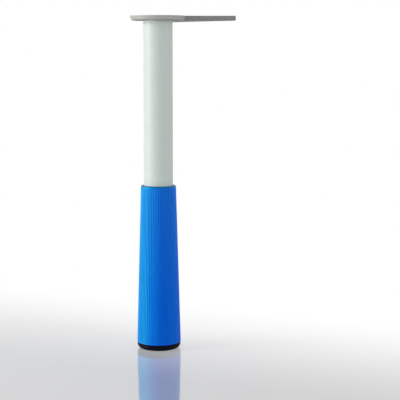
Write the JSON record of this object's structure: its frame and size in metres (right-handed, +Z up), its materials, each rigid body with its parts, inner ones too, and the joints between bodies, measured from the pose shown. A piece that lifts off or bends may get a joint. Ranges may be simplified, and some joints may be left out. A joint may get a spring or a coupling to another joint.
{
  "type": "height adjustable table leg",
  "caption": "Telescoping table leg: round tube under a cast corner flange, long tapered ribbed grip sleeve with a twist lock, and a black levelling foot.",
  "frame": {"origin": "on the leg's axis where the foot meets the floor", "axes": "+Z up along the leg; the flange's two arms run along +X and +Y"},
  "size_m": [0.216, 0.216, 0.687],
  "materials": {
    "cast_grey": "satin cast",
    "tube_paint": "satin powder coat",
    "blue_plastic": "satin",
    "black_plastic": "satin",
    "white_plastic": "satin",
    "zinc_steel": "zinc plated",
    "bare_steel": "drawn",
    "die_cast": "machined"
  },
  "bodies": {
    "upper": {"mounting_flange": "cast_grey", "upper_tube": "tube_paint", "head_plate": "bare_steel", "bolt_washer": "zinc_steel", "centre_bolt": "zinc_steel", "guide_bush": "white_plastic"},
    "clamp": {"clamp_collet": "white_plastic"},
    "cone": {"clamp_cone": "die_cast"},
    "lower": {"inner_tube": "bare_steel", "stud_plug": "die_cast", "clamp_stud": "zinc_steel", "stud_lock_nut": "zinc_steel", "thrust_washer": "zinc_steel", "stop_washer": "zinc_steel", "stop_nut": "zinc_steel", "ribbed_sleeve": "blue_plastic", "sleeve_guide_ring": "white_plastic", "base_hub": "black_plastic", "base_screws": "zinc_steel", "spindle_nut": "zinc_steel"},
    "glide": {"glide_foot": "black_plastic", "glide_retainer": "black_plastic"},
    "spindle": {"level_spindle": "zinc_steel"}
  },
  "joints": [
    {"name": "height_adjust", "type": "slide", "parent": "upper", "child": "clamp", "axis": [0, 0, -1], "range_m": [-0.12, 0.05]},
    {"name": "twist_lock", "type": "hinge", "parent": "clamp", "child": "lower", "pos_m": [0, 0, 0.361], "axis": [0, 0, 1], "range_deg": [0, 180]},
    {"name": "cone_travel", "type": "slide", "parent": "clamp", "child": "cone", "axis": [0, 0, 1], "range_m": [0, 0.002]},
    {"name": "foot_level", "type": "slide", "parent": "lower", "child": "glide", "axis": [0, 0, -1], "range_m": [0, 0.009]},
    {"name": "spindle_turn", "type": "hinge", "parent": "glide", "child": "spindle", "pos_m": [0, 0, 0.02], "axis": [0, 0, 1], "range_deg": [0, 2160.1]}
  ],
  "couplings": [
    {"joint": "cone_travel", "follows": "twist_lock", "m_per_rad": 0.00063662},
    {"joint": "spindle_turn", "follows": "foot_level", "rad_per_m": 4188.8}
  ]
}
